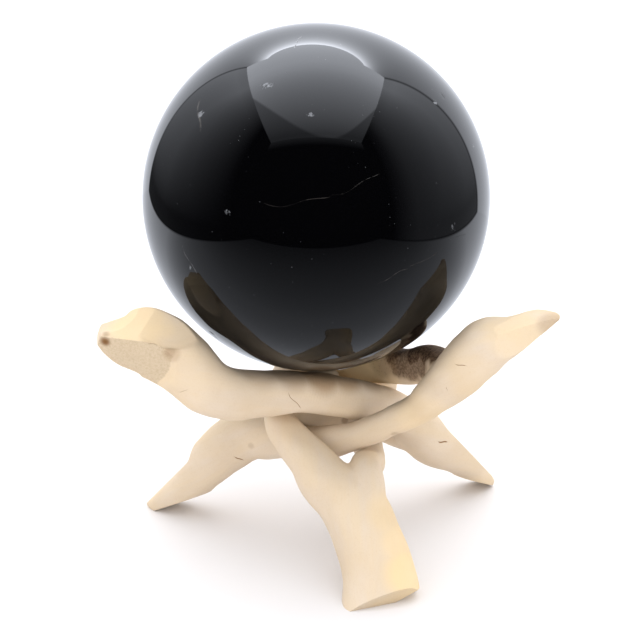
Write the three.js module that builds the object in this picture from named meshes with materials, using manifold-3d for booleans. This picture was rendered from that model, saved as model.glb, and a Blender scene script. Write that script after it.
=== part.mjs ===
// A polished black stone ball resting on a folding wooden stand.
// The stand is three hand-carved limbs, woven through each other's eyes like the links of a chain.
// Each limb runs from a foot, through a forked eye and a slim neck, up to a head that flares
// like a snake's hood. Sizes are in millimetres, +Z is up, and the feet stand on Z = 0.
import * as THREE from 'three';
import { mergeVertices } from 'three/addons/utils/BufferGeometryUtils.js';
import Module from 'manifold-3d';

const wasm = await Module();
wasm.setup();

// Driving dimensions.
const BALL_RADIUS = 50;
const BALL_HEIGHT = 103.7; // centre of the ball above the ground
const BALL_DETAIL = 9; // subdivisions of the icosahedron
const SECTION_SIDES = 18; // corners round a limb
const RINGS_PER_STATION = 3; // rings from one station to the next
const SQUARENESS = 2.7; // 2 is an ellipse, larger is nearer a rounded bar
const CUTTER = 400; // edge of the blocks that make flat cuts

const STONE = { color: 0x0b0b0d, roughness: 0.06, metalness: 0 };
const WOOD = { color: 0xe6d2b4, roughness: 0.62, metalness: 0 };

// A flat cut: a point on it, and the direction that faces out of the wood.
const GROUND = [[0, 0, 0], [0, 0, -1]];

// A limb is two strands. The main strand goes from the foot along one side of the eye to the
// head, and the second strand is the other side of the eye. Each row is a station of a strand:
// x, y, z of its middle, width across, height, measured square to the strand.
const FRONT_LIMB = {
  main: [
    [17.6, -54, -6, 23, 15],
    [16.9, -45.5, 4.5, 21.5, 15],
    [13.7, -37.5, 13, 20, 15.5],
    [9.2, -29.5, 20.5, 20, 15.5],
    [2.4, -24, 26, 15.5, 13],
    [-1.2, -20.5, 30, 13.4, 10.8],
    [-6.6, -16, 34.4, 11, 9.4],
    [-10.8, -8, 38.8, 9, 8.8],
    [-7, 1.6, 39, 8.4, 8.4],
    [3.2, 6, 33.8, 8.6, 8.4],
    [12.4, 11.4, 31, 9.2, 8.8],
    [18.5, 19, 37.5, 11, 11],
    [18.6, 31, 49.5, 13, 12.5],
    [14.6, 41.2, 65, 16, 15],
    [12.6, 54.5, 76, 17, 15],
    [11, 68, 83, 9, 6],
  ],
  second: [
    [13.6, -31.5, 19.4, 13.8, 12.5],
    [14.2, -25.5, 25.4, 11, 10.5],
    [14.2, -19.5, 28, 9, 8.8],
    [15.6, -13, 26, 8.4, 8.4],
    [16.2, -5, 25.2, 8.4, 8.2],
    [15, 3, 26.8, 8.6, 8.4],
    [12.8, 11.8, 31, 9, 8.8],
  ],
  flats: [[[16, -53.6, 0], [0.52, -0.8, -0.3]]],
};

const RIGHT_LIMB = {
  main: [
    [54.4, 33.6, 0.9, 6, 3.6],
    [51.4, 31.2, 2.8, 10.4, 7],
    [44.8, 26, 12, 16, 11],
    [34.8, 16, 22, 16, 14.5],
    [24.5, 6, 35, 12, 11.5],
    [15, -2, 41.5, 11, 11.8],
    [5.4, -8.2, 45.8, 11, 11.8],
    [-4.8, -13.5, 49.1, 12, 11.6],
    [-15.7, -18.5, 50.5, 13, 13],
    [-25.3, -23.4, 52.2, 14, 14.8],
    [-31.6, -26.5, 56.4, 16, 16.2],
    [-39, -28, 64.5, 19, 17.6],
    [-46.7, -29, 69.8, 20, 19],
    [-53.6, -31, 71, 17, 14],
    [-60.2, -32, 73.6, 9.5, 6.5],
  ],
  second: [
    [-3.8, -12, 48, 8.6, 8.6],
    [2.4, 3.8, 46.2, 8.4, 8],
    [4, 17.2, 36, 8.4, 8.2],
    [10.8, 22.8, 27.8, 8.6, 8.4],
    [21.7, 21.6, 24, 9.6, 9.4],
    [33, 17, 22, 11, 11],
  ],
  flats: [[[-50, -35.4, 68], [-0.19, -0.94, -0.28]]],
};

const LEFT_LIMB = {
  main: [
    [-51.4, 18, 2, 6, 2.6],
    [-48.2, 16.6, 1.9, 11.5, 5.2],
    [-45, 15, 5.2, 13, 5.8],
    [-39, 12.6, 10.5, 15, 8.8],
    [-31.5, 10.4, 18, 16, 14.4],
    [-26.5, 9, 23.2, 16, 15.6],
    [-20.5, 7.4, 27, 15, 15.4],
    [-13, 3.5, 28, 12.6, 12.6],
    [-4.9, -2, 28.4, 10, 9.2],
    [4.3, -8.5, 31.4, 9, 9.6],
    [11.3, -11.6, 34.5, 9, 8.2],
    [16.8, -14, 37.6, 9, 8.2],
    [22.5, -17, 41.6, 9.5, 8.4],
    [29.8, -20.2, 46.6, 11, 9.4],
    [34.7, -23, 52.6, 14, 11.6],
    [40.7, -25.3, 59.8, 17, 14.6],
    [47.2, -27.3, 67.5, 19, 15.4],
    [54.2, -29.7, 71.8, 17, 10.6],
    [60.9, -32, 76.2, 12, 6.5],
    [66.4, -34, 79.6, 6, 2.4],
  ],
  second: [
    [38, -18, 56.5, 11, 11],
    [33.4, -8, 55.4, 9, 11.5],
    [26.6, 2, 51.2, 9, 10.6],
    [19.2, 8.2, 49.6, 9, 11],
    [11.5, 13.6, 48.8, 9.4, 14],
    [3.5, 19.2, 51.6, 8.6, 9.6],
    [-6, 19, 46, 8.6, 9],
    [-16, 7, 28.5, 11, 11],
  ],
  flats: [[[55, -35.5, 73.5], [0.28, -0.94, 0.2]]],
};

function toSolid(geometry) {
  geometry.deleteAttribute('normal');
  geometry.deleteAttribute('uv');
  const merged = mergeVertices(geometry, 1e-4);
  const vertProperties = new Float32Array(merged.attributes.position.array);
  const triVerts = new Uint32Array(merged.index.array);
  return new wasm.Manifold(new wasm.Mesh({ numProp: 3, vertProperties, triVerts }));
}

function toGeometry(solid) {
  const { vertProperties, triVerts } = solid.getMesh();
  const geometry = new THREE.BufferGeometry();
  geometry.setAttribute('position', new THREE.BufferAttribute(vertProperties, 3));
  geometry.setIndex(new THREE.BufferAttribute(triVerts, 1));
  geometry.computeVertexNormals();
  return geometry;
}

// One coordinate of a superellipse: a circle's cosine or sine, pushed out towards its box.
function squared(value) {
  return Math.sign(value) * Math.abs(value) ** (2 / SQUARENESS);
}

// A closed bar whose superelliptic section follows a smooth curve through the stations.
function strand(stations) {
  const middle = new THREE.CatmullRomCurve3(stations.map(([x, y, z]) => new THREE.Vector3(x, y, z)));
  const sizes = new THREE.CatmullRomCurve3(
    stations.map(([, , , width, height]) => new THREE.Vector3(width, height, 0)),
  );
  const rings = (stations.length - 1) * RINGS_PER_STATION;
  const positions = [];
  for (let ring = 0; ring <= rings; ring += 1) {
    const t = ring / rings;
    const centre = middle.getPoint(t);
    const size = sizes.getPoint(t);
    const along = middle.getTangent(t);
    const across = new THREE.Vector3(along.y, -along.x, 0).normalize();
    const up = new THREE.Vector3().crossVectors(across, along);
    for (let side = 0; side < SECTION_SIDES; side += 1) {
      const angle = (2 * Math.PI * side) / SECTION_SIDES;
      const point = centre
        .clone()
        .addScaledVector(across, (size.x / 2) * squared(Math.cos(angle)))
        .addScaledVector(up, (size.y / 2) * squared(Math.sin(angle)));
      positions.push(point.x, point.y, point.z);
    }
  }
  const index = [];
  for (let ring = 0; ring < rings; ring += 1) {
    for (let side = 0; side < SECTION_SIDES; side += 1) {
      const next = (side + 1) % SECTION_SIDES;
      const a = ring * SECTION_SIDES + side;
      const b = ring * SECTION_SIDES + next;
      index.push(a, a + SECTION_SIDES, b, b, a + SECTION_SIDES, b + SECTION_SIDES);
    }
  }
  const last = rings * SECTION_SIDES;
  for (let side = 1; side < SECTION_SIDES - 1; side += 1) {
    index.push(0, side, side + 1, last, last + side + 1, last + side);
  }
  const geometry = new THREE.BufferGeometry();
  geometry.setAttribute('position', new THREE.Float32BufferAttribute(positions, 3));
  geometry.setIndex(index);
  return toSolid(geometry);
}

// Cuts away everything on the outer side of a plane through a point.
function cutFlat(solid, point, outward) {
  const direction = new THREE.Vector3(...outward).normalize();
  const block = new THREE.BoxGeometry(CUTTER, CUTTER, CUTTER);
  block.translate(0, 0, CUTTER / 2);
  const turn = new THREE.Quaternion().setFromUnitVectors(new THREE.Vector3(0, 0, 1), direction);
  block.applyQuaternion(turn);
  block.translate(...point);
  return solid.subtract(toSolid(block));
}

// A whole limb: its two strands joined, its knife-cut flats, and the sole that meets the ground.
function limb({ main, second, flats }) {
  let solid = strand(main).add(strand(second));
  for (const [point, outward] of [GROUND, ...flats]) {
    solid = cutFlat(solid, point, outward);
  }
  return toGeometry(solid);
}

function piece(name, geometry, finish) {
  const mesh = new THREE.Mesh(geometry, new THREE.MeshStandardMaterial(finish));
  mesh.name = name;
  return mesh;
}

const ball = new THREE.IcosahedronGeometry(BALL_RADIUS, BALL_DETAIL);
ball.translate(0, 0, BALL_HEIGHT);

const ornament = new THREE.Group();
ornament.add(
  piece('ball', toGeometry(toSolid(ball)), STONE),
  piece('limb_front', limb(FRONT_LIMB), WOOD),
  piece('limb_right', limb(RIGHT_LIMB), WOOD),
  piece('limb_left', limb(LEFT_LIMB), WOOD),
);

// The origin is on the ground, under the middle of the whole ornament.
const extent = new THREE.Box3().setFromObject(ornament);
const middle = extent.getCenter(new THREE.Vector3());
ornament.position.set(-middle.x, -middle.y, 0);

export default ornament;
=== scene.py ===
"""A polished black stone ball on a folding stand of three hand-carved limbs.

The limbs are carved from pale, soft, close-grained wood and pass through one another's eyes. Each is
worked out as two strands (a section carried along a curve), grown together into one skin, and then
pared with flat and hollow knife cuts. Lengths are written in millimetres and turned to metres once.
Stations and cuts are measured from the ball's axis, with the ground at height 0.
"""
import math

import bmesh
import bpy
import numpy as np
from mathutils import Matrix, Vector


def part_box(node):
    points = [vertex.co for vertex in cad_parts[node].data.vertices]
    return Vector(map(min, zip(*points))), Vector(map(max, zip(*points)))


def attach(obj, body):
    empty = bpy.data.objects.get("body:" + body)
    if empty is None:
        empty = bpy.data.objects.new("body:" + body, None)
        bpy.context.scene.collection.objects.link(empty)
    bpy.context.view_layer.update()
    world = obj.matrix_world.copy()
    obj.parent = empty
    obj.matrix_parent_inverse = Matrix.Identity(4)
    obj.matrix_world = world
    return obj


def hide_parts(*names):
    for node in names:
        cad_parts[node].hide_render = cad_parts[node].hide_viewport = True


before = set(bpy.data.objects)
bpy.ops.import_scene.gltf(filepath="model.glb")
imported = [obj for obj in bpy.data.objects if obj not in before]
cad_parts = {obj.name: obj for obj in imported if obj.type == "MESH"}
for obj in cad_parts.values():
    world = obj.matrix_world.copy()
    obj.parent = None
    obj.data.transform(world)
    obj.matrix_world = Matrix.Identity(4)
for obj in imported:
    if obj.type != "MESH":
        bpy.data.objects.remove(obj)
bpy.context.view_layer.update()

MM = 0.001
SKIN = 0.45  # spacing of the carved skin's vertices
BALL_RADIUS = 50.0
GROUND = ((0, 0, 0), (0, 0, -1))  # every foot is sawn level with the ground

low, high = (np.array(corner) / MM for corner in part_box("ball"))
BALL_CENTRE = (low + high) / 2
AXIS = BALL_CENTRE * (1, 1, 0)  # the ball's axis where it meets the ground


# ---------------------------------------------------------------- limbs: stations and knife cuts

# A station is x, y, z of a strand's middle, then its width across and its height, square to it.
# "sawn" is a spot on each saw cut and the way it faces, and "end_grain" adds how far the rough face
# reaches and how grey it is. "pared" is a spot on each knife cut, the way it faces, its reach and how
# deep it is dished. "lengthwise" is the way the blank's grain runs. A stain is x, y, z, reach and
# strength. A split is its start, its end, the way it opens and its width.
FRONT_LIMB = {
    "main": [
        (18.4, -56.5, -9, 25, 15.5), (17.9, -45.5, 4.5, 21, 15), (14.9, -37.5, 13, 19.2, 15.5),
        (10, -29.5, 20.5, 19, 15.5), (2.4, -24, 26, 15.5, 13), (-1.2, -20.5, 30, 13.4, 10.8),
        (-6.6, -16, 34.4, 11, 9.4), (-10.8, -8, 38.8, 9, 8.8), (-7, 1.6, 39, 8.4, 9.6),
        (3.2, 6, 33.8, 8.6, 9.6), (12.4, 11.4, 31, 9.2, 8.8), (18.5, 19, 37.5, 11, 11),
        (18.6, 31, 49.5, 13, 12.5), (14.6, 41.2, 65, 16, 15), (12.6, 54.5, 76, 17, 15),
        (11, 68, 83, 9, 6),
    ],
    "second": [
        (13.6, -31.5, 19.4, 13.8, 12.5), (14.2, -25.5, 25.4, 11, 10.5), (14.2, -19.5, 28, 9, 8.8),
        (15.6, -13, 26, 8.4, 8.4), (16.2, -5, 25.2, 8.4, 8.2), (15, 3, 26.8, 8.6, 8.4),
        (12.8, 11.8, 31, 9, 8.8),
    ],
    "sawn": [((16, -54, 0), (0.35, -0.79, -0.5))],
    "end_grain": [((16, -54, 0), (0.35, -0.79, -0.5), 30, 0.3)],
    "pared": [((23.5, -51.8, 0.9), (0.5, -0.28, -0.82), 10, 0)],
    "lengthwise": (0, 0.75, 0.66),
    "stains": {
        "gold": [(27.5, -49, 7, 9, 0.75), (25, -42, 13, 8, 0.5), (21, -36, 19, 8, 0.35)],
        "knot": [(8.6, 3.9, 33.3, 1.2, 0.5)],
        "grime": [],
        "soot": [],
        "rasped": [],
    },
    "splits": [],
}
RIGHT_LIMB = {
    "main": [
        (54.4, 33.6, 0.9, 6, 3.6), (51.4, 31.2, 2.8, 10.4, 7), (44.8, 26, 12, 16, 11),
        (34.8, 16, 22, 16, 14.5), (24.5, 6, 35, 12, 11.5), (15, -2, 41.5, 11, 11.8),
        (5.4, -8.2, 45.8, 11, 11.8), (-4.8, -13.5, 49.1, 12, 11.6), (-15.7, -18.5, 50.5, 13, 13),
        (-25.3, -23.4, 52.2, 14, 14.8), (-31.6, -26.5, 56.4, 16, 16.2), (-39, -28, 64.5, 19, 17.6),
        (-46.7, -29, 69.8, 20, 19), (-53.6, -31, 71, 17, 14), (-60.2, -32, 73.6, 9.5, 6.5),
    ],
    "second": [
        (-3.8, -12, 48, 8.6, 8.6), (2.4, 3.8, 46.2, 8.4, 8), (4, 17.2, 36, 8.4, 8.2),
        (10.8, 22.8, 27.8, 8.6, 8.4), (21.7, 21.6, 24, 9.6, 9.4), (33, 17, 22, 11, 11),
    ],
    "sawn": [],
    "end_grain": [((-51, -35, 68.5), (-0.22, -0.935, -0.275), 11.8, 0.9)],
    "pared": [
        ((-50, -31, 76.3), (-0.07, -0.48, 0.875), 12, 0.3),
        ((-54.3, -29, 77.3), (-0.38, -0.2, 0.9), 7.5, 1.8),
        ((-42, -28, 76.5), (0.3, -0.6, 0.74), 9, 0),
        ((-51, -35, 68.5), (-0.22, -0.935, -0.275), 10.5, 0),
        ((46.6, 26.3, 14.8), (0.72, 0.23, 0.66), 19, 0),
        ((44.8, 23.6, 6.3), (-0.27, -0.32, -0.91), 13, 0),
    ],
    "lengthwise": (-0.85, -0.45, 0.3),
    "stains": {
        "gold": [
            (-50, -31, 77, 9, 0.5), (-44, -31, 76, 5, 0.3), (-40, -33, 58, 10, 0.2), (50, 30, 8, 8, 0.3),
        ],
        "knot": [(-58.4, -33, 72.3, 1.9, 1), (-40.5, -37, 70, 1.6, 0.25)],
        # The first spot is grime by a knot; the rest, on the neck's top under the ball, are painted shade:
        # the ball's contact shadow over some real grime.
        "grime": [
            (-40.2, -37.2, 69.5, 2.6, 0.3), (1, -12, 54.5, 7, 0.7), (8, -7, 53, 7, 0.65),
            (15, -2, 50, 6, 0.45), (-8, -15, 55.5, 7, 0.5), (-17, -19, 57.5, 7, 0.3),
        ],
        "soot": [],
        "rasped": [(4, -9, 51, 14, 0.8), (20, 2, 40, 9, 0.5)],
    },
    "splits": [
        ((-38.9, -34.9, 57.6), (-35.4, -35, 58.6), (0, -1, 0), 0.1),
        ((-8.1, -21.8, 52.5), (-4.1, -19.1, 45.9), (0.4, -0.9, 0), 0.1),
        ((36.5, 7.3, 25.2), (40.3, 10.2, 23.7), (0.67, -0.74, 0), 0.28),
    ],
}
LEFT_LIMB = {
    "main": [
        (-51.4, 18, 1.6, 6, 3), (-48.4, 16.6, 1.5, 10, 5.6), (-44.6, 15, 4.2, 12.6, 8.2),
        (-38.4, 12.6, 9.5, 15, 11.4), (-31.5, 10.4, 18, 16, 14.4), (-26.5, 9, 23.2, 16, 15.6),
        (-20.5, 7.4, 27, 15, 15.4), (-13, 3.5, 28, 12.6, 12.6),
        (-4.9, -2, 28.4, 10, 9.2), (4.3, -8.5, 31.4, 9, 9.6), (11.3, -11.6, 34.5, 9, 8.2),
        (16.8, -14, 37.6, 9, 8.2), (22.5, -17, 41.6, 9.5, 8.4), (29.8, -20.2, 46.6, 11, 9.4),
        (34.7, -23, 52.6, 14, 11.6), (40.7, -25.3, 59.8, 17, 14.6), (47.2, -27.3, 67.5, 19, 15.4),
        (54.2, -29.7, 71.8, 17, 10.6), (60.9, -32, 76.2, 12, 7.2), (66.8, -33.4, 79.4, 7.5, 4.6),
    ],
    "second": [
        (38, -18, 56.5, 11, 11), (33.4, -8, 55.4, 9, 11.5), (26.6, 2, 51.2, 9, 10.6),
        (19.2, 8.2, 49.6, 9, 11), (11.5, 13.6, 48.8, 9.4, 14), (3.5, 19.2, 51.6, 8.6, 9.6),
        (-6, 19, 46, 8.6, 9), (-16, 7, 28.5, 11, 11),
    ],
    "sawn": [],
    "end_grain": [],
    "pared": [
        ((55, -35.5, 73.5), (0.28, -0.94, 0.2), 12, 0.4),
        ((55, -30, 77.6), (-0.05, -0.4, 0.91), 12, 0),
        ((-25, 7, 13.6), (0.57, -0.38, -0.73), 10, 0),
        ((-39.8, 12, 4), (0.34, -0.31, -0.89), 13, 0),
        ((-45.3, 14, 9.3), (-0.71, 0.23, 0.67), 12, 0),
    ],
    "lengthwise": (0.78, -0.35, 0.52),
    "stains": {
        "gold": [
            (54, -34, 75, 8, 0.25), (44, -33, 62, 8, 0.2), (30, -27, 46, 9, 0.3), (12, 9, 47, 12, 0.9),
            (20, 3, 50, 7, 0.5),
        ],
        "knot": [
            (66, -34, 77.5, 5, 0.3), (-19.5, -0.5, 26.8, 1, 0.2), (22.7, -20.7, 38.8, 1.2, 0.3),
        ],
        "grime": [(22, 3, 52, 5, 0.25)],
        "soot": [
            (24.8, 2.8, 56, 5, 0.8), (28.8, -6, 59.5, 5, 0.85), (32.9, -11.9, 61.3, 5, 0.85),
            (35, -17, 62.5, 4, 0.8), (24.6, -2.2, 54.7, 5.5, 0.6), (27.4, -6.4, 54.8, 5.5, 0.55),
            (30.1, -11.3, 57, 5, 0.55), (20, 3, 52, 5, 0.3),
        ],
        "rasped": [(34, -24, 52, 7, 0.4)],
    },
    "splits": [
        ((38.2, -34, 65.4), (42.4, -35.4, 65.2), (-0.4, -0.9, 0), 0.13),
        ((36.5, -32.6, 58.2), (36.9, -32.6, 56.2), (-0.42, -0.9, 0), 0.12),
        ((-24.9, 0.8, 23.2), (-21.5, 1.8, 21.4), (-0.1, -1, 0), 0.22),
    ],
}


# Flaws in the stone: a fleck or pit is as a stain on a limb, and a crack as a split.
STONE_FLECKS = [
    (-31.6, -24, 134.2, 1, 0.9), (-14, -27.6, 142.9, 1, 0.55), (-12.3, -28.1, 143.1, 0.9, 0.7),
    (-1.4, -37, 137.3, 1, 0.6), (-34.7, -34.6, 93.9, 0.9, 0.6), (43.7, -15, 122.8, 1.1, 0.5),
    (37.3, -33.2, 104.8, 1, 0.5), (-24, -43, 112, 1.1, 0.5), (32.8, -19, 136.2, 0.9, 0.6),
]
STONE_PITS = [(-29.5, -22.9, 70.5, 1.2, 1), (-28.5, -22, 68.5, 0.9, 0.9), (35.2, -13, 136.7, 1, 0.7)]
STONE_CRACKS = [
    ((-32, -19, 137.3), (-31, -28.5, 130.4), (-0.6, -0.5, 0.6), 0.45),
    ((-14.2, -46.5, 115.6), (3.7, -47.7, 118.1), (0, -1, 0), 0.1),
    ((3.7, -47.7, 118.1), (17, -42.8, 123.1), (0.2, -0.9, 0.3), 0.06),
    ((-3.6, -8.9, 152.8), (-6.3, -16.5, 150.5), (0, -0.2, 1), 0.16),
    ((-36.8, -33.6, 100.2), (-32.2, -36.4, 91.8), (-0.7, -0.7, 0), 0.12),
    ((41.4, -27.9, 101.2), (25.2, -42.5, 95.8), (0.7, -0.7, 0), 0.09),
    ((25.2, -42.5, 95.8), (15.9, -46, 92.1), (0.4, -0.9, 0), 0.09),
]


def smooth_curve(points, per_span):
    """Centripetal Catmull-Rom curve: each span is a cubic whose end slopes come from its neighbours,
    weighed by the square root of the distance between stations. Returns places and directions."""
    points = np.asarray(points, float)
    padded = np.vstack([2 * points[0] - points[1], points, 2 * points[-1] - points[-2]])
    gap = np.linalg.norm(np.diff(padded, axis=0), axis=1) ** 0.5
    gap = np.where(gap < 1e-4, 1.0, gap)[:, None]
    a, b, c, d = padded[:-3], padded[1:-2], padded[2:-1], padded[3:]
    g0, g1, g2 = gap[:-2], gap[1:-1], gap[2:]
    leave = ((b - a) / g0 - (c - a) / (g0 + g1) + (c - b) / g1) * g1
    reach = ((c - b) / g1 - (d - b) / (g1 + g2) + (d - c) / g2) * g1
    t = np.arange(len(points) * per_span - per_span + 1) / per_span
    span = np.minimum(t.astype(int), len(points) - 2)
    u = (t - span)[:, None]
    c2 = -3 * b + 3 * c - 2 * leave - reach
    c3 = 2 * b - 2 * c + leave + reach
    place = b[span] + leave[span] * u + c2[span] * u**2 + c3[span] * u**3
    slope = leave[span] + 2 * c2[span] * u + 3 * c3[span] * u**2
    return place, slope / np.linalg.norm(slope, axis=1, keepdims=True)


def strand(stations, per_span=10, sides=56, squareness=2.7):
    """A superellipse carried along a curve: at angle a the section's edge lies at
    (width/2) * sign(cos a) |cos a|^(2/n) across and (height/2) * sign(sin a) |sin a|^(2/n) up."""
    table = np.asarray(stations, float)
    middle, along = smooth_curve(table[:, :3], per_span)
    size, _ = smooth_curve(np.column_stack([table[:, 3:], np.zeros(len(table))]), per_span)
    across = np.column_stack([along[:, 1], -along[:, 0], np.zeros(len(along))])
    across /= np.linalg.norm(across, axis=1, keepdims=True)
    up = np.cross(across, along)
    angle = np.arange(sides) * 2 * math.pi / sides
    cos, sin = np.cos(angle), np.sin(angle)
    x = np.sign(cos) * np.abs(cos) ** (2 / squareness)
    z = np.sign(sin) * np.abs(sin) ** (2 / squareness)
    grid = (
        middle[:, None]
        + across[:, None] * (size[:, 0, None, None] / 2) * x[None, :, None]
        + up[:, None] * (size[:, 1, None, None] / 2) * z[None, :, None]
    )
    rings = len(middle)
    ring, side = np.meshgrid(np.arange(rings - 1), np.arange(sides), indexing="ij")
    turn = (side + 1) % sides
    quads = np.stack(
        [ring * sides + side, (ring + 1) * sides + side, (ring + 1) * sides + turn, ring * sides + turn], -1
    )
    points = np.vstack([grid.reshape(-1, 3), middle[:1], middle[-1:]])
    around = np.arange(sides)
    after = (around + 1) % sides
    start = np.stack([np.full(sides, rings * sides), around, after], -1)
    end_ring = (rings - 1) * sides
    end = np.stack([np.full(sides, rings * sides + 1), end_ring + after, end_ring + around], -1)
    return points, quads.reshape(-1, 4).tolist() + start.tolist() + end.tolist()


def make_object(name, points, faces):
    """An object at the origin with its place in its mesh; points come in millimetres."""
    mesh = bpy.data.meshes.new(name)
    mesh.from_pydata((np.asarray(points) * MM).tolist(), [], faces)
    piece = bpy.data.objects.new(name, mesh)
    bpy.context.collection.objects.link(piece)
    return piece


def bake_modifiers(piece):
    """Puts the finished modifiers' result into the mesh itself."""
    graph = bpy.context.evaluated_depsgraph_get()
    done = bpy.data.meshes.new_from_object(piece.evaluated_get(graph))
    old = piece.data
    piece.modifiers.clear()
    piece.data = done
    done.name = piece.name
    bpy.data.meshes.remove(old)


def get_points(mesh):
    points = np.empty(len(mesh.vertices) * 3)
    mesh.vertices.foreach_get("co", points)
    return points.reshape(-1, 3) / MM


def set_points(mesh, points):
    mesh.vertices.foreach_set("co", (points * MM).ravel())
    mesh.update()


def wander(points, size, seed):
    """Slow, even wandering, mostly between -1 and 1: ten sine waves of about the same length, size, that
    run in scattered directions, added up."""
    rng = np.random.default_rng(seed)
    total = np.zeros(len(points))
    for _ in range(10):
        way = rng.normal(size=3)
        way *= 2 * math.pi / (size * rng.uniform(0.7, 1.5) * np.linalg.norm(way))
        total += np.sin(points @ way + rng.uniform(0, 2 * math.pi))
    return total / 4.5


def pare(points, spot, outward, reach, hollow=0.0):
    """A knife cut: wood that stands out past a plane through spot is taken back to it. The cut holds
    within reach of spot, fades over the next third, and is dished by hollow in its middle."""
    normal = np.array(outward, float)
    normal /= np.linalg.norm(normal)
    offset = points - (np.array(spot, float) + AXIS)
    distance = np.linalg.norm(offset - (offset @ normal)[:, None] * normal, axis=1)
    hold = np.clip((1.33 - distance / reach) / 0.33, 0, 1)
    hold = hold * hold * (3 - 2 * hold)
    near = np.linalg.norm(offset, axis=1) < reach * 1.6
    dish = hollow * np.clip(1 - (distance / reach) ** 2, 0, 1)
    excess = np.maximum(offset @ normal + dish, 0) * hold * near
    return points - excess[:, None] * normal


def saw(piece, spot, outward):
    """A flat cut right through, with its face closed."""
    shape = bmesh.new()
    shape.from_mesh(piece.data)
    cut = bmesh.ops.bisect_plane(
        shape, geom=shape.verts[:] + shape.edges[:] + shape.faces[:], dist=1e-7,
        plane_co=(np.array(spot, float) + AXIS) * MM, plane_no=outward, clear_outer=True,
    )
    rim = [e for e in cut["geom_cut"] if isinstance(e, bmesh.types.BMEdge)]
    bmesh.ops.edgenet_fill(shape, edges=rim)
    bmesh.ops.recalc_face_normals(shape, faces=shape.faces[:])
    shape.to_mesh(piece.data)
    shape.free()


def blot(points, spots, ragged):
    """How strongly a stain shows: each spot is x, y, z, reach and strength, and fades between 0.65 and
    1.25 of its reach, nearer or farther where ragged says. Where spots overlap the strongest holds."""
    total = np.zeros(len(points))
    for x, y, z, reach, strength in spots:
        distance = np.linalg.norm(points - (np.array([x, y, z]) + AXIS), axis=1) / reach
        hold = np.clip((1.25 - distance * (1 + 0.3 * ragged)) / 0.6, 0, 1)
        total = np.maximum(total, strength * hold * hold * (3 - 2 * hold))
    return total


def hairlines(points, splits):
    """For the nearest of the splits, a signed distance across it, how far inside its ends and its 2 mm
    reach a point is, and its width. A split bends by 0.06 sin(pi t) + 0.035 sin(2.3 pi t) of its length
    at t of the way along. Its two sides have opposite signs, so between vertices it stays a thin line."""
    across = np.full(len(points), 5.0)
    inside = np.full(len(points), -5.0)
    width = np.zeros(len(points))
    for start, end, opens, gape in splits:
        first, last = np.array(start, float) + AXIS, np.array(end, float) + AXIS
        length = np.linalg.norm(last - first)
        along = (last - first) / length
        side = np.cross(along, opens)
        side /= np.linalg.norm(side)
        offset = points - first
        s = offset @ along
        angle = math.pi * s / length
        bend = length * (0.06 * np.sin(angle) + 0.035 * np.sin(2.3 * angle))
        far = np.linalg.norm(offset - np.clip(s, 0, length)[:, None] * along, axis=1)
        within = np.minimum(np.minimum(s, length - s), 2.0 - far)
        here = within > inside
        across[here] = (offset @ side - bend)[here]
        inside[here] = within[here]
        width[here] = gape
    return np.column_stack([across, inside, width])


def store(mesh, name, kind, values):
    """Keeps one value per vertex in the mesh, for its material."""
    layer = mesh.attributes.new(name, kind, "POINT")
    field = "color" if kind == "FLOAT_COLOR" else "vector"
    layer.data.foreach_set(field, np.asarray(values, np.float32).ravel())


def stain_limb(mesh, limb, seed):
    """Stores what the wood's material reads: millimetres along and across the blank it was cut from,
    its stains and painted shade, and its splits. The seed moves each limb to its own part of the grain."""
    points = get_points(mesh)
    lengthwise = np.array(limb["lengthwise"]) / np.linalg.norm(limb["lengthwise"])
    across = np.cross(lengthwise, (0, 0, 1))
    across /= np.linalg.norm(across)
    blank = np.column_stack([lengthwise, across, np.cross(lengthwise, across)])
    store(mesh, "blank", "FLOAT_VECTOR", (points + 60 * seed) @ blank)
    ragged = {"soot": 0.4 * wander(points, 3.0, seed + 20)}
    stains = {kind: blot(points, spots, ragged.get(kind, 0)) for kind, spots in limb["stains"].items()}
    sawn = np.zeros(len(points))
    for spot, outward, reach, strength in limb["end_grain"]:
        normal = np.array(outward) / np.linalg.norm(outward)
        offset = points - (np.array(spot) + AXIS)
        on = (np.abs(offset @ normal) < 0.04) & (np.linalg.norm(offset, axis=1) < reach)
        sawn = np.maximum(sawn, strength * on)
    full = np.ones(len(points))
    tone = [sawn, stains["gold"], stains["soot"], full]
    marks = [stains["knot"], stains["grime"], stains["rasped"], full]
    store(mesh, "tone", "FLOAT_COLOR", np.column_stack(tone))
    store(mesh, "marks", "FLOAT_COLOR", np.column_stack(marks))
    store(mesh, "split", "FLOAT_VECTOR", hairlines(points, limb["splits"]))


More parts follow.
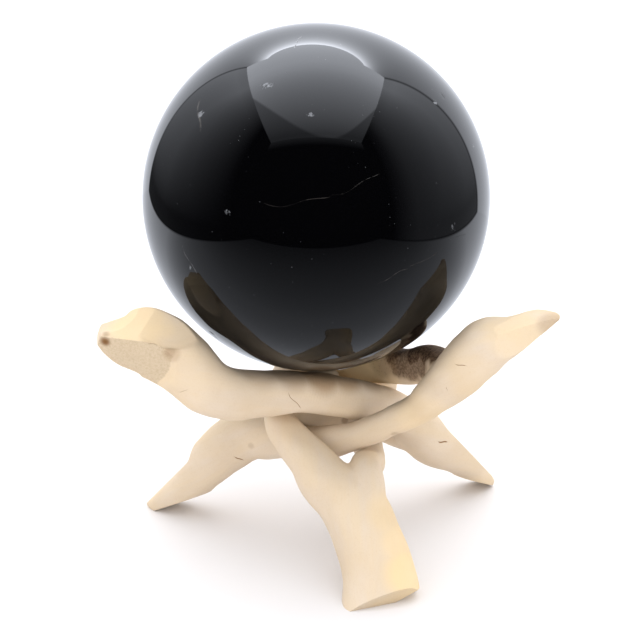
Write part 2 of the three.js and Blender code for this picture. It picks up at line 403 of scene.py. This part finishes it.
def carve_limb(name, limb, seed):
    """Grows a limb's two strands into one worn skin, then waves, pares, saws and stains it. The waves of
    hand carving are 11 mm long and 0.16 mm high, with others 4 mm long and 0.05 mm high."""
    points, faces = strand(limb["main"])
    second_points, second_faces = strand(limb["second"])
    faces = faces + [[i + len(points) for i in face] for face in second_faces]
    piece = make_object(name, np.vstack([points, second_points]) + AXIS, faces)
    skin = piece.modifiers.new("one skin", "REMESH")
    skin.mode = "VOXEL"
    skin.voxel_size = SKIN * MM
    worn = piece.modifiers.new("worn smooth", "SMOOTH")
    worn.factor = 0.5
    worn.iterations = 14
    bake_modifiers(piece)
    shape = get_points(piece.data)
    normal = np.empty(len(shape) * 3)
    piece.data.vertices.foreach_get("normal", normal)
    normal = normal.reshape(-1, 3)
    waves = 0.16 * wander(shape, 11, seed) + 0.05 * wander(shape, 4, seed + 1)
    shape = shape + normal * waves[:, None]
    for spot, outward, reach, hollow in limb["pared"]:
        shape = pare(shape, spot, outward, reach, hollow)
    set_points(piece.data, shape)
    for spot, outward in limb["sawn"] + [GROUND]:
        saw(piece, spot, outward)
    stain_limb(piece.data, limb, seed)
    piece.data.shade_smooth()
    corners = np.empty(len(piece.data.polygons), dtype=np.int32)
    piece.data.polygons.foreach_get("loop_total", corners)
    piece.data.polygons.foreach_set("use_smooth", corners < 9)  # the sawn faces stay flat
    piece.data.set_sharp_from_angle(angle=math.radians(35))
    return piece


# ---------------------------------------------------------------- materials


def colour(text):
    """sRGB hex to linear light."""
    parts = [int(text[i : i + 2], 16) / 255 for i in (1, 3, 5)]
    return tuple(p / 12.92 if p <= 0.04045 else ((p + 0.055) / 1.055) ** 2.4 for p in parts) + (1.0,)


def add(tree, kind, inputs=(), **settings):
    """Adds a node with its settings, sets or links its inputs by name or in order, and returns its
    first output in use."""
    made = tree.nodes.new("ShaderNode" + kind)
    for key, value in settings.items():
        setattr(made, key, value)
    for key, value in inputs.items() if isinstance(inputs, dict) else enumerate(inputs):
        if isinstance(value, bpy.types.NodeSocket):
            tree.links.new(value, made.inputs[key])
        else:
            made.inputs[key].default_value = value
    return next((out for out in made.outputs if out.enabled), None)


def new_material(name):
    material = bpy.data.materials.new(name)
    material.use_nodes = True
    material.node_tree.nodes.clear()
    return material, material.node_tree


def polished_stone():
    """Black carbon-rich stone, turned and polished: a deep black body under a glassy skin, with fine
    healed cracks, pale mineral flecks and pinholes that the polish has not closed."""
    material, tree = new_material("black stone, turned and polished")
    place = add(tree, "TexCoord").node.outputs["Object"]
    flaws = add(tree, "Attribute", attribute_name="flaws")
    fleck, pit, _ = add(tree, "SeparateColor", [flaws]).node.outputs
    vein = add(tree, "Attribute", attribute_name="vein").node.outputs["Vector"]
    across, inside, width = add(tree, "SeparateXYZ", [vein]).node.outputs

    # Flecks are ragged at about 0.9 mm. Dust is specks 1.7 mm apart, in clouds about 12 mm across.
    grains = {"Vector": place, "Scale": 1 / (0.9 * MM), "Detail": 3.0, "Roughness": 0.7}
    ragged = add(tree, "MapRange", [add(tree, "TexNoise", grains), 0.35, 0.65, -0.3, 0.3])
    fleck = add(tree, "Math", [fleck, ragged], operation="ADD")
    fleck = add(tree, "MapRange", [fleck, 0.4, 0.8, 0.0, 0.6])
    dust = add(tree, "TexVoronoi", {"Vector": place, "Scale": 1 / (1.7 * MM)}).node.outputs["Distance"]
    dust = add(tree, "MapRange", [dust, 0.07, 0.03, 0.0, 0.5])
    where = add(tree, "TexNoise", {"Vector": place, "Scale": 1 / (12 * MM), "Detail": 1.0})
    dust = add(tree, "Math", [dust, add(tree, "MapRange", [where, 0.56, 0.62])], operation="MULTIPLY")
    pale = add(tree, "Math", [dust, fleck], operation="MAXIMUM")

    # The healed cracks are thinner in places and break off, like the strokes of a dry pen.
    stroke = add(tree, "Math", [across], operation="ABSOLUTE")
    stroke = add(tree, "MapRange", [stroke, width, 0.0, 0.0, 1.0])
    ends = add(tree, "MapRange", [inside, 0.0, 2.0, 0.0, 1.0])
    broken = add(tree, "TexNoise", {"Vector": place, "Scale": 1 / (1.6 * MM), "Detail": 2.0})
    broken = add(tree, "MapRange", [broken, 0.4, 0.6, 0.15, 1.0])
    stroke = add(tree, "Math", [stroke, ends], operation="MULTIPLY")
    stroke = add(tree, "Math", [stroke, broken], operation="MULTIPLY")

    body = add(tree, "Mix", {0: stroke, 6: colour("#030304"), 7: colour("#55514E")}, data_type="RGBA")
    body = add(tree, "Mix", {0: pale, 6: body, 7: colour("#8D9096")}, data_type="RGBA")
    worn = add(tree, "Math", [pale, pit], operation="MAXIMUM")
    polish = add(tree, "MapRange", [worn, 0.0, 1.0, 0.03, 0.45])
    hollow = add(tree, "Math", [pit, stroke], operation="MAXIMUM")
    relief = add(tree, "Bump", {"Strength": 0.5, "Distance": 0.1 * MM, "Height": hollow}, invert=True)
    shader = add(
        tree, "BsdfPrincipled",
        {"Base Color": body, "Roughness": polish, "IOR": 1.5, "Specular IOR Level": 0.15, "Normal": relief},
    )
    add(tree, "OutputMaterial", [shader])
    return material


def carved_wood():
    """Pale close-grained wood, carved green, scraped and left bare: dull and creamy, with faint growth
    bands along the blank, fine pores and a raised nap, greyer sawn ends, golden sapwood, brown heart at
    the knots, and a soot-brown skin where a hot iron burned an eye open."""
    material, tree = new_material("pale softwood, carved and scraped bare")
    place = add(tree, "TexCoord").node.outputs["Object"]
    blank = add(tree, "Attribute", attribute_name="blank").node.outputs["Vector"]
    tone = add(tree, "Attribute", attribute_name="tone")
    sawn, gold, soot = add(tree, "SeparateColor", [tone]).node.outputs
    marks = add(tree, "Attribute", attribute_name="marks")
    knot, grime, rasped = add(tree, "SeparateColor", [marks]).node.outputs
    split = add(tree, "Attribute", attribute_name="split").node.outputs["Vector"]
    across, inside, gape = add(tree, "SeparateXYZ", [split]).node.outputs

    # Growth bands 4 mm apart and fibres 0.6 mm wide, both drawn out twelvefold along the blank. The
    # fibres and the pores, 0.5 mm apart, are coarser than real ones so that they show.
    drawn = add(tree, "VectorMath", [blank, (0.08, 1.0, 1.0)], operation="MULTIPLY")
    bands = add(tree, "TexNoise", {"Vector": drawn, "Scale": 1 / 4.0, "Detail": 3.0})
    bands = add(tree, "MapRange", [bands, 0.4, 0.62, 0.0, 0.45])
    fibres = add(tree, "TexNoise", {"Vector": drawn, "Scale": 1 / 0.6, "Detail": 2.0})
    fibres = add(tree, "MapRange", [fibres, 0.45, 0.75, 0.0, 0.12])
    clouds = add(tree, "TexNoise", {"Vector": blank, "Scale": 1 / 15, "Detail": 2.0})
    clouds = add(tree, "MapRange", [clouds, 0.35, 0.65])
    pores = add(tree, "TexNoise", {"Vector": blank, "Scale": 1 / 0.5, "Detail": 2.0, "Roughness": 0.6})
    pores = add(tree, "MapRange", [pores, 0.52, 0.8, 0.0, 0.14])

    wood = add(tree, "Mix", {0: clouds, 6: colour("#D8C8B5"), 7: colour("#D4C1A8")}, data_type="RGBA")
    growth = ((bands, "#DBC7A9"), (fibres, "#D3B78F"), (pores, "#B4936A"), (gold, "#E6CC9F"))
    for strength, stain in growth:
        wood = add(tree, "Mix", {0: strength, 6: wood, 7: colour(stain)}, data_type="RGBA")

    # End grain: greyer, with pores 0.6 mm apart cut across.
    grains = {"Vector": place, "Scale": 1 / (0.6 * MM), "Detail": 3.0, "Roughness": 0.7}
    grit = add(tree, "MapRange", [add(tree, "TexNoise", grains), 0.42, 0.72, 0.0, 0.35])
    grey = add(tree, "Mix", {0: grit, 6: colour("#C9B79D"), 7: colour("#957C59")}, data_type="RGBA")
    wood = add(tree, "Mix", {0: sawn, 6: wood, 7: grey}, data_type="RGBA")

    # Char: crumbs 0.7 mm across, thick in the middle of the burn and scattered at its edge.
    grains = {"Vector": place, "Scale": 1 / (0.7 * MM), "Detail": 2.0, "Roughness": 0.6}
    crumbs = add(tree, "MapRange", [add(tree, "TexNoise", grains), 0.35, 0.65, -0.25, 0.25])
    crumbs = add(tree, "Math", [soot, 1.4, crumbs], operation="MULTIPLY_ADD")
    scorched = add(tree, "MapRange", [soot, 0.0, 0.7, 0.0, 0.75])
    burnt = add(tree, "MapRange", [crumbs, 0.5, 1.5])
    burnt = add(tree, "Math", [burnt, add(tree, "MapRange", [soot, 0.0, 0.2])], operation="MULTIPLY")

    # Splits: thin lines, brown inside, that taper to their ends.
    line = add(tree, "Math", [across], operation="ABSOLUTE")
    taper = add(tree, "MapRange", [inside, 0.0, 1.2, 0.0, 1.0])
    wide = add(tree, "Math", [gape, taper, 0.001], operation="MULTIPLY_ADD")
    line = add(tree, "MapRange", [line, wide, 0.0, 0.0, 1.6])
    line = add(tree, "Math", [line, taper], operation="MULTIPLY", use_clamp=True)

    # The first brown, #9C7A55, is grime, and painted shade where it stands for the ball's contact shadow on
    # the right limb's neck.
    wear_and_shade = (
        (grime, "#9C7A55"), (knot, "#7A5632"), (scorched, "#76502F"), (burnt, "#33231A"),
        (line, "#86603A"),
    )
    for strength, stain in wear_and_shade:
        wood = add(tree, "Mix", {0: strength, 6: wood, 7: colour(stain)}, data_type="RGBA")

    # Relief, a few hundredths of a millimetre: lumps 2 mm across, a raised nap, the rasp's strokes 0.9 mm
    # apart across the limb, and the hollows of splits, knots and end grain.
    nap = add(tree, "TexNoise", {"Vector": drawn, "Scale": 1 / 0.5, "Detail": 3.0, "Roughness": 0.7})
    lumps = add(tree, "TexNoise", {"Vector": blank, "Scale": 1 / 2.2, "Detail": 3.0})
    waves = {
        "Vector": blank, "Scale": 1 / 0.9 * math.pi / 10, "Distortion": 4.0, "Detail": 2.0,
        "Detail Scale": 1.2,
    }
    strokes = add(tree, "TexWave", waves).node.outputs["Fac"]
    strokes = add(tree, "Math", [strokes, rasped], operation="MULTIPLY")
    pitted = add(tree, "Math", [grit, sawn], operation="MULTIPLY")
    height = lumps
    for form, share in ((nap, 0.4), (strokes, 0.5), (line, -1.5), (knot, -1.0), (pitted, -0.6)):
        height = add(tree, "Math", [form, share, height], operation="MULTIPLY_ADD")
    relief = add(tree, "Bump", {"Strength": 0.35, "Distance": 0.2 * MM, "Height": height})
    shader = add(
        tree, "BsdfPrincipled",
        {"Base Color": wood, "Roughness": 0.72, "IOR": 1.5, "Specular IOR Level": 0.12, "Normal": relief},
    )
    add(tree, "OutputMaterial", [shader])
    return material


# ---------------------------------------------------------------- pieces


def turned_ball():
    """A sphere on a grid of latitude u and longitude v: r (cos u cos v, cos u sin v, sin u), with a
    fan closing each pole."""
    rows, columns = 180, 360
    u = (np.arange(1, rows) / rows - 0.5) * math.pi
    v = np.arange(columns) * 2 * math.pi / columns
    level = np.outer(np.sin(u), np.ones(columns))
    ring = np.stack([np.outer(np.cos(u), np.cos(v)), np.outer(np.cos(u), np.sin(v)), level], -1)
    points = np.vstack([ring.reshape(-1, 3), [[0, 0, -1], [0, 0, 1]]]) * BALL_RADIUS + BALL_CENTRE
    row, column = np.meshgrid(np.arange(rows - 2) * columns, np.arange(columns), indexing="ij")
    after = (column + 1) % columns
    quads = np.stack([row + column, row + after, row + columns + after, row + columns + column], -1)
    bottom, top, last = (rows - 1) * columns, (rows - 1) * columns + 1, (rows - 2) * columns
    around = np.arange(columns)
    turn = (around + 1) % columns
    faces = quads.reshape(-1, 4).tolist()
    faces += np.stack([np.full(columns, bottom), turn, around], -1).tolist()
    faces += np.stack([np.full(columns, top), last + around, last + turn], -1).tolist()
    piece = make_object("polished_ball", points, faces)
    points = get_points(piece.data)
    ragged = wander(points, 3.0, 31)
    none, full = np.zeros(len(points)), np.ones(len(points))
    flaws = [blot(points, STONE_FLECKS, ragged), blot(points, STONE_PITS, ragged), none, full]
    store(piece.data, "flaws", "FLOAT_COLOR", np.column_stack(flaws))
    store(piece.data, "vein", "FLOAT_VECTOR", hairlines(points, STONE_CRACKS))
    piece.data.shade_smooth()
    return piece


ball = turned_ball()
ball.data.materials.append(polished_stone())
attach(ball, "root")
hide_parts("ball")

wood = carved_wood()
limbs = (("limb_front", FRONT_LIMB, 3), ("limb_right", RIGHT_LIMB, 5), ("limb_left", LEFT_LIMB, 7))
for node, limb, seed in limbs:
    piece = carve_limb("carved_" + node, limb, seed)
    piece.data.materials.append(wood)
    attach(piece, "root")
    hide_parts(node)


# ---------------------------------------------------------------- floor, light and camera


def pale_floor():
    """Matt white table top. The ball doesn't mirror it but the light box's own table."""
    material, tree = new_material("pale floor")
    finish = {"Base Color": colour("#E3E2E5"), "Roughness": 0.9, "Specular IOR Level": 0.1}
    add(tree, "OutputMaterial", [add(tree, "BsdfPrincipled", finish)])
    half = 6000
    corners = [(-half, -half, 0), (half, -half, 0), (half, half, 0), (-half, half, 0)]
    floor = make_object("floor", corners, [[0, 1, 2, 3]])
    floor.data.materials.append(material)
    floor.visible_glossy = False


def soft_box_light():
    """A white cloth light box around the object, worked out from direction alone: a ray from the ball
    meets a side, the back, the open front, the roof or the table, whichever is nearest. The cloth is
    brighter towards the back, where a lamp shines through it above an arched hem, and the front is dark.
    Lengths are millimetres from the ball's centre."""
    world = bpy.data.worlds.new("light box")
    bpy.context.scene.world = world
    world.use_nodes = True
    tree = world.node_tree
    tree.nodes.clear()
    way = add(tree, "TexCoord").node.outputs["Generated"]
    x, y, z = add(tree, "SeparateXYZ", [way]).node.outputs

    # How far the ray runs to each face of the box. The back stands a little askew.
    aside = add(tree, "Math", [x], operation="ABSOLUTE")
    askew = add(tree, "VectorMath", [way, (0.233, 0.972, 0)], operation="DOT_PRODUCT")
    askew = askew.node.outputs["Value"]
    ahead = add(tree, "Math", [y, -1.0], operation="MULTIPLY")
    below = add(tree, "Math", [z, -1.0], operation="MULTIPLY")
    faces = {
        "side": (aside, 311.0), "back": (askew, 328.0), "front": (ahead, 345.0),
        "roof": (z, 490.0), "table": (below, 104.0),
    }
    to = {}
    for face, (towards, distance) in faces.items():
        towards = add(tree, "Math", [towards, 1e-4], operation="MAXIMUM")
        to[face] = add(tree, "Math", [distance, towards], operation="DIVIDE")
    behind = add(tree, "Math", [to["back"], to["table"]], operation="MINIMUM")
    cloth = add(tree, "Math", [to["side"], behind], operation="MINIMUM")
    ends = add(tree, "Math", [to["front"], to["roof"]], operation="MINIMUM")
    nearest = add(tree, "Math", [cloth, ends], operation="MINIMUM")
    reach = add(tree, "Math", [nearest, 1.0], operation="ADD")
    on = {face: add(tree, "Math", [to[face], reach], operation="LESS_THAN") for face in to}
    lands = add(tree, "VectorMath", {0: way, "Scale": nearest}, operation="SCALE")
    lx, ly, lz = add(tree, "SeparateXYZ", [lands]).node.outputs

    # The sides are dark at the open front and low down. The right one keeps a little light of its own.
    depth = add(tree, "MapRange", [ly, -205.0, 150.0, 0.0, 1.0])
    depth = add(tree, "Math", [depth, 1.4], operation="POWER")
    height = add(tree, "MapRange", [lz, -60.0, 400.0, 0.06, 1.6])
    side = add(tree, "Math", [depth, height], operation="MULTIPLY")
    right = add(tree, "MapRange", [ly, -260.0, -120.0, 0.0, 0.15])
    on_right = add(tree, "Math", [lx, 0.0], operation="GREATER_THAN")
    right = add(tree, "Math", [right, on_right], operation="MULTIPLY")
    side = add(tree, "Math", [side, right], operation="ADD")

    # The hem is an arch: height 345 in the middle, rising with the square of the distance aside. Light
    # that comes through above it fades below it as e^(-depth / 60).
    square = add(tree, "Math", [lx, lx], operation="MULTIPLY")
    hem = add(tree, "Math", [square, 0.0036, 345.0], operation="MULTIPLY_ADD")
    under = add(tree, "Math", [hem, lz], operation="SUBTRACT")
    spill = add(tree, "Math", [add(tree, "Math", [under, -60.0], operation="DIVIDE")], operation="EXPONENT")
    back = add(tree, "Math", [spill, 8.5, 1.4], operation="MULTIPLY_ADD")
    roof = add(tree, "MapRange", [ly, -310.0, 230.0, 0.65, 3.9])
    over = add(tree, "Math", [under, 0.0], operation="LESS_THAN")
    back = add(tree, "Mix", {0: over, 2: back, 3: roof})
    front = add(tree, "MapRange", [lz, 410.0, 490.0, 0.0, 0.2])
    # The table goes off into the dark towards the front: 0.47 e^(y/135) and a little more.
    table = add(tree, "Math", [add(tree, "Math", [ly, 135.0], operation="DIVIDE")], operation="EXPONENT")
    table = add(tree, "Math", [table, 0.47, 0.04], operation="MULTIPLY_ADD")
    table = add(tree, "Math", [table, 1.3], operation="MINIMUM")

    glow = roof
    for face, light in (("side", side), ("back", back), ("front", front), ("table", table)):
        glow = add(tree, "Mix", {0: on[face], 2: glow, 3: light})
    # A dark seam where a side meets the back or the table.
    seam = add(tree, "Math", [to["side"], behind], operation="SUBTRACT")
    seam = add(tree, "Math", [add(tree, "Math", [seam], operation="ABSOLUTE"), cloth], operation="DIVIDE")
    seam = add(tree, "MapRange", [seam, 0.0, 0.05, 0.25, 1.0])
    on_cloth = add(tree, "Math", [cloth, reach], operation="LESS_THAN")
    seam = add(tree, "Mix", {0: on_cloth, 2: 1.0, 3: seam})
    glow = add(tree, "Math", [glow, seam], operation="MULTIPLY")

    # The stone mirrors the box clearly, and the bright cloth above all, as polish does beside dull wood.
    low_back = add(tree, "VectorMath", [way, (0, 0.945, -0.327)], operation="DOT_PRODUCT")
    level = add(tree, "Math", [low_back.node.outputs["Value"], 0.0], operation="MAXIMUM")
    level = add(tree, "Math", [level, 0.9], operation="POWER")
    level = add(tree, "MapRange", [level, 0.0, 1.0, 3.3, 1.0])
    # It shows the roof cloth's rounded front edge too, which bows back by 0.0025 mm per square mm aside,
    # and more steeply on the right.
    off = add(tree, "Math", [lx, 90.0], operation="SUBTRACT")
    off_left = add(tree, "Math", [off, -1.0], operation="MULTIPLY")
    off_right = add(tree, "Math", [off, 1.6], operation="MULTIPLY")
    off = add(tree, "Math", [off_left, off_right], operation="MAXIMUM")
    off = add(tree, "Math", [off, off], operation="MULTIPLY")
    edge = add(tree, "Math", [off, 0.0025, -345.0], operation="MULTIPLY_ADD")
    past = add(tree, "Math", [ly, edge], operation="SUBTRACT")
    rounded = add(tree, "MapRange", [past, -14.0, 14.0, 0.5, 1.0])
    rounded = add(tree, "Mix", {0: on["roof"], 2: 1.0, 3: rounded})
    shown = add(tree, "Math", [glow, level], operation="MULTIPLY")
    shown = add(tree, "Math", [shown, rounded], operation="MULTIPLY")

    # The wood and the floor are lit by the cloth and by the even light of the room that it lets through,
    # which is stronger from above and from the front.
    room = add(tree, "MapRange", [z, 0.0, 0.9, 0.82, 1.05])
    room = add(tree, "Math", [room, add(tree, "MapRange", [y, 0.2, -0.7, 0.0, 0.5])], operation="ADD")
    lit = add(tree, "Math", [glow, 0.43, room], operation="MULTIPLY_ADD")

    # Warm light falls on the wood, the polish looks cool, and the backdrop is plain white.
    rays = add(tree, "LightPath").node.outputs
    warm, cool, plain_white = (1, 0.995, 0.985, 1), (0.93, 0.97, 1.06, 1), 1.1
    tint = add(tree, "Mix", {0: rays["Is Glossy Ray"], 6: warm, 7: cool}, data_type="RGBA")
    glow = add(tree, "Mix", {0: rays["Is Glossy Ray"], 2: lit, 3: shown})
    glow = add(tree, "Mix", {0: rays["Is Camera Ray"], 2: glow, 3: plain_white})
    lamp = add(tree, "Background", {"Color": tint, "Strength": glow})
    add(tree, "OutputWorld", [lamp])


def long_lens_camera():
    """Long lens, 650 mm from the ball's centre and looking down on it at 19 degrees."""
    camera = bpy.data.objects.new("camera", bpy.data.cameras.new("camera"))
    bpy.context.collection.objects.link(camera)
    camera.data.lens = 126.8
    camera.data.sensor_width = 36
    camera.location = (BALL_CENTRE + np.array([0, -624.8, 179.2])) * MM
    camera.rotation_euler = (math.radians(90 - 19.11), 0, math.radians(-0.1))
    camera.data.clip_start = 0.01
    bpy.context.scene.camera = camera


pale_floor()
soft_box_light()
long_lens_camera()
bpy.context.scene.view_settings.view_transform = "Standard"
